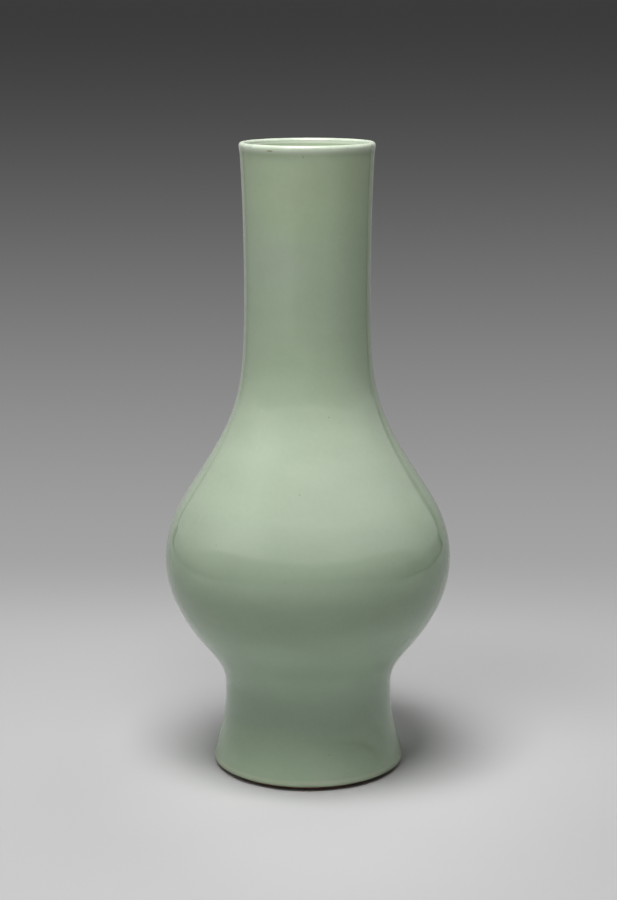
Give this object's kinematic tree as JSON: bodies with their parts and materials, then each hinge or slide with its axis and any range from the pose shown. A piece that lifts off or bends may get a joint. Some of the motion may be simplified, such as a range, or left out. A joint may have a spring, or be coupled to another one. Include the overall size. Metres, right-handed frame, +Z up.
{
  "type": "vase",
  "caption": "Tall celadon-glazed porcelain bottle vase with a long straight neck, rolled lip, pear-shaped belly and spreading foot, for holding cut stems or for display.",
  "frame": {"origin": "centre of the standing face of the foot rim", "axes": "+Z up along the axis of revolution, from the foot to the mouth"},
  "size_m": [0.1912, 0.1912, 0.42],
  "materials": {
    "porcelain": "fired and unglazed",
    "slip": "fired, chalky",
    "celadon_glaze": "glossy, slightly translucent",
    "thin_glaze": "glossy, thin over white porcelain",
    "iron_wash": "matt, brushed"
  },
  "bodies": {
    "root": {"foot_section": "porcelain", "lower_belly_section": "porcelain", "shoulder_section": "porcelain", "neck_section": "porcelain", "foot_lute": "slip", "belly_lute": "slip", "neck_lute": "slip", "outer_glaze": "celadon_glaze", "inner_glaze": "celadon_glaze", "base_glaze": "celadon_glaze", "lip_glaze": "thin_glaze", "foot_wash": "iron_wash"}
  },
  "joints": []
}
